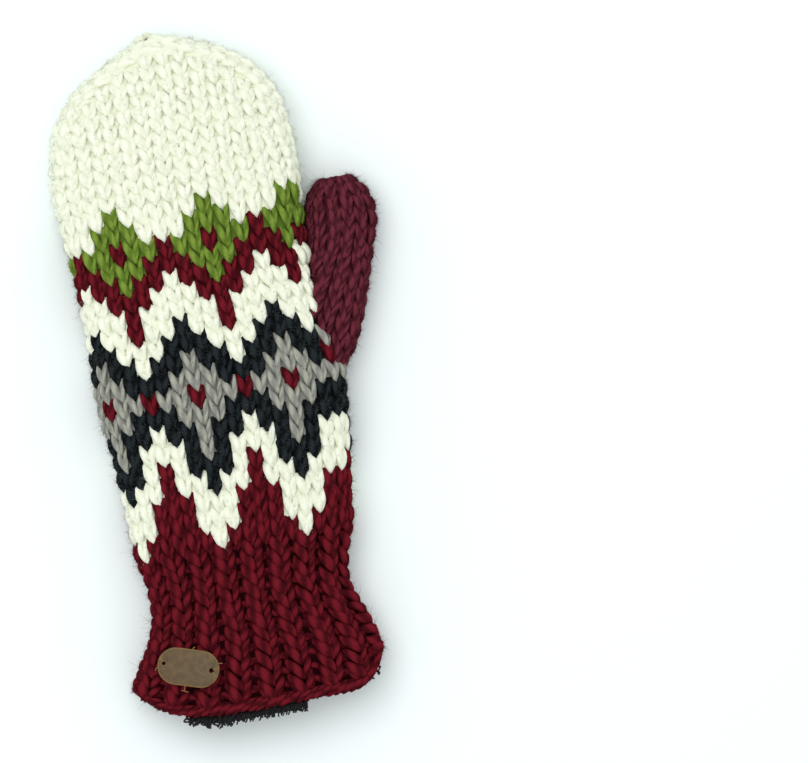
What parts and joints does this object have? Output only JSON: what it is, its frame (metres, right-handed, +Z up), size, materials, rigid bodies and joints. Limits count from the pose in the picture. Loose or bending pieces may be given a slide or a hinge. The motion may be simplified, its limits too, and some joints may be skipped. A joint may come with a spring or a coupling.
{
  "type": "knitted mitten",
  "caption": "Chunky lined knitted mitten for the left hand, lying flat, with a ribbed cuff, a diamond colourwork band and a small leather label",
  "frame": {"origin": "under the middle of the mitten's bounding box, on the surface that it lies on", "axes": "+X to the thumb side, +Y from the cuff to the finger tip, +Z up, away from the palm"},
  "size_m": [0.1274, 0.2698, 0.0335],
  "materials": {
    "cream_wool": "chunky wool knitting, matt and hairy, with a charted pattern in five colours on the hand",
    "red_wool": "dark red chunky wool knitting, matt and hairy",
    "purple_wool": "dark purplish red chunky wool knitting, matt and hairy",
    "black_fleece": "black brushed fleece, soft pile",
    "tan_leather": "olive tan leather with a paler cut edge, bare"
  },
  "bodies": {
    "root": {"hand": "cream_wool", "thumb": "purple_wool", "cuff": "red_wool", "cuff_edge": "red_wool", "lining": "black_fleece", "label": "tan_leather"}
  },
  "joints": []
}
